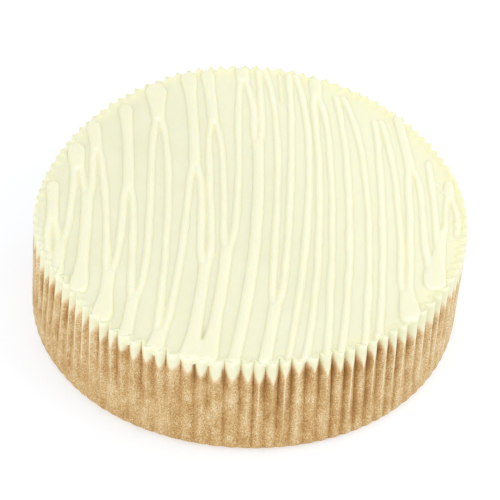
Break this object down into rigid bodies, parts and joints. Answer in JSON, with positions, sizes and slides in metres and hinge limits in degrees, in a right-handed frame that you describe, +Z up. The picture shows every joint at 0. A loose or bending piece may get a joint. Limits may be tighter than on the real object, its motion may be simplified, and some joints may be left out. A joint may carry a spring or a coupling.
{
  "type": "white mud cake",
  "caption": "Round iced mud cake standing in its fluted paper baking case, with lines of icing piped to and fro across a flat ivory top.",
  "frame": {"origin": "on the surface the cake stands on, under the centre of its bounding box", "axes": "+Z up out of the iced top; the piped lines run along Y, from the near side at -Y to the far side at +Y; +X to the right"},
  "size_m": [0.1828, 0.182, 0.0533],
  "materials": {
    "paper": "matt greaseproof paper, brown where the crumb shows through and ivory where the icing does",
    "crumb": "baked cake crumb, matt",
    "icing": "set white chocolate icing, satin",
    "piping": "set piped icing, satin"
  },
  "bodies": {
    "root": {"paper_case": "paper", "cake": "crumb", "icing": "icing", "piped_line_1": "piping", "piped_line_2": "piping", "piped_line_3": "piping", "piped_line_4": "piping", "piped_line_5": "piping"}
  },
  "joints": []
}
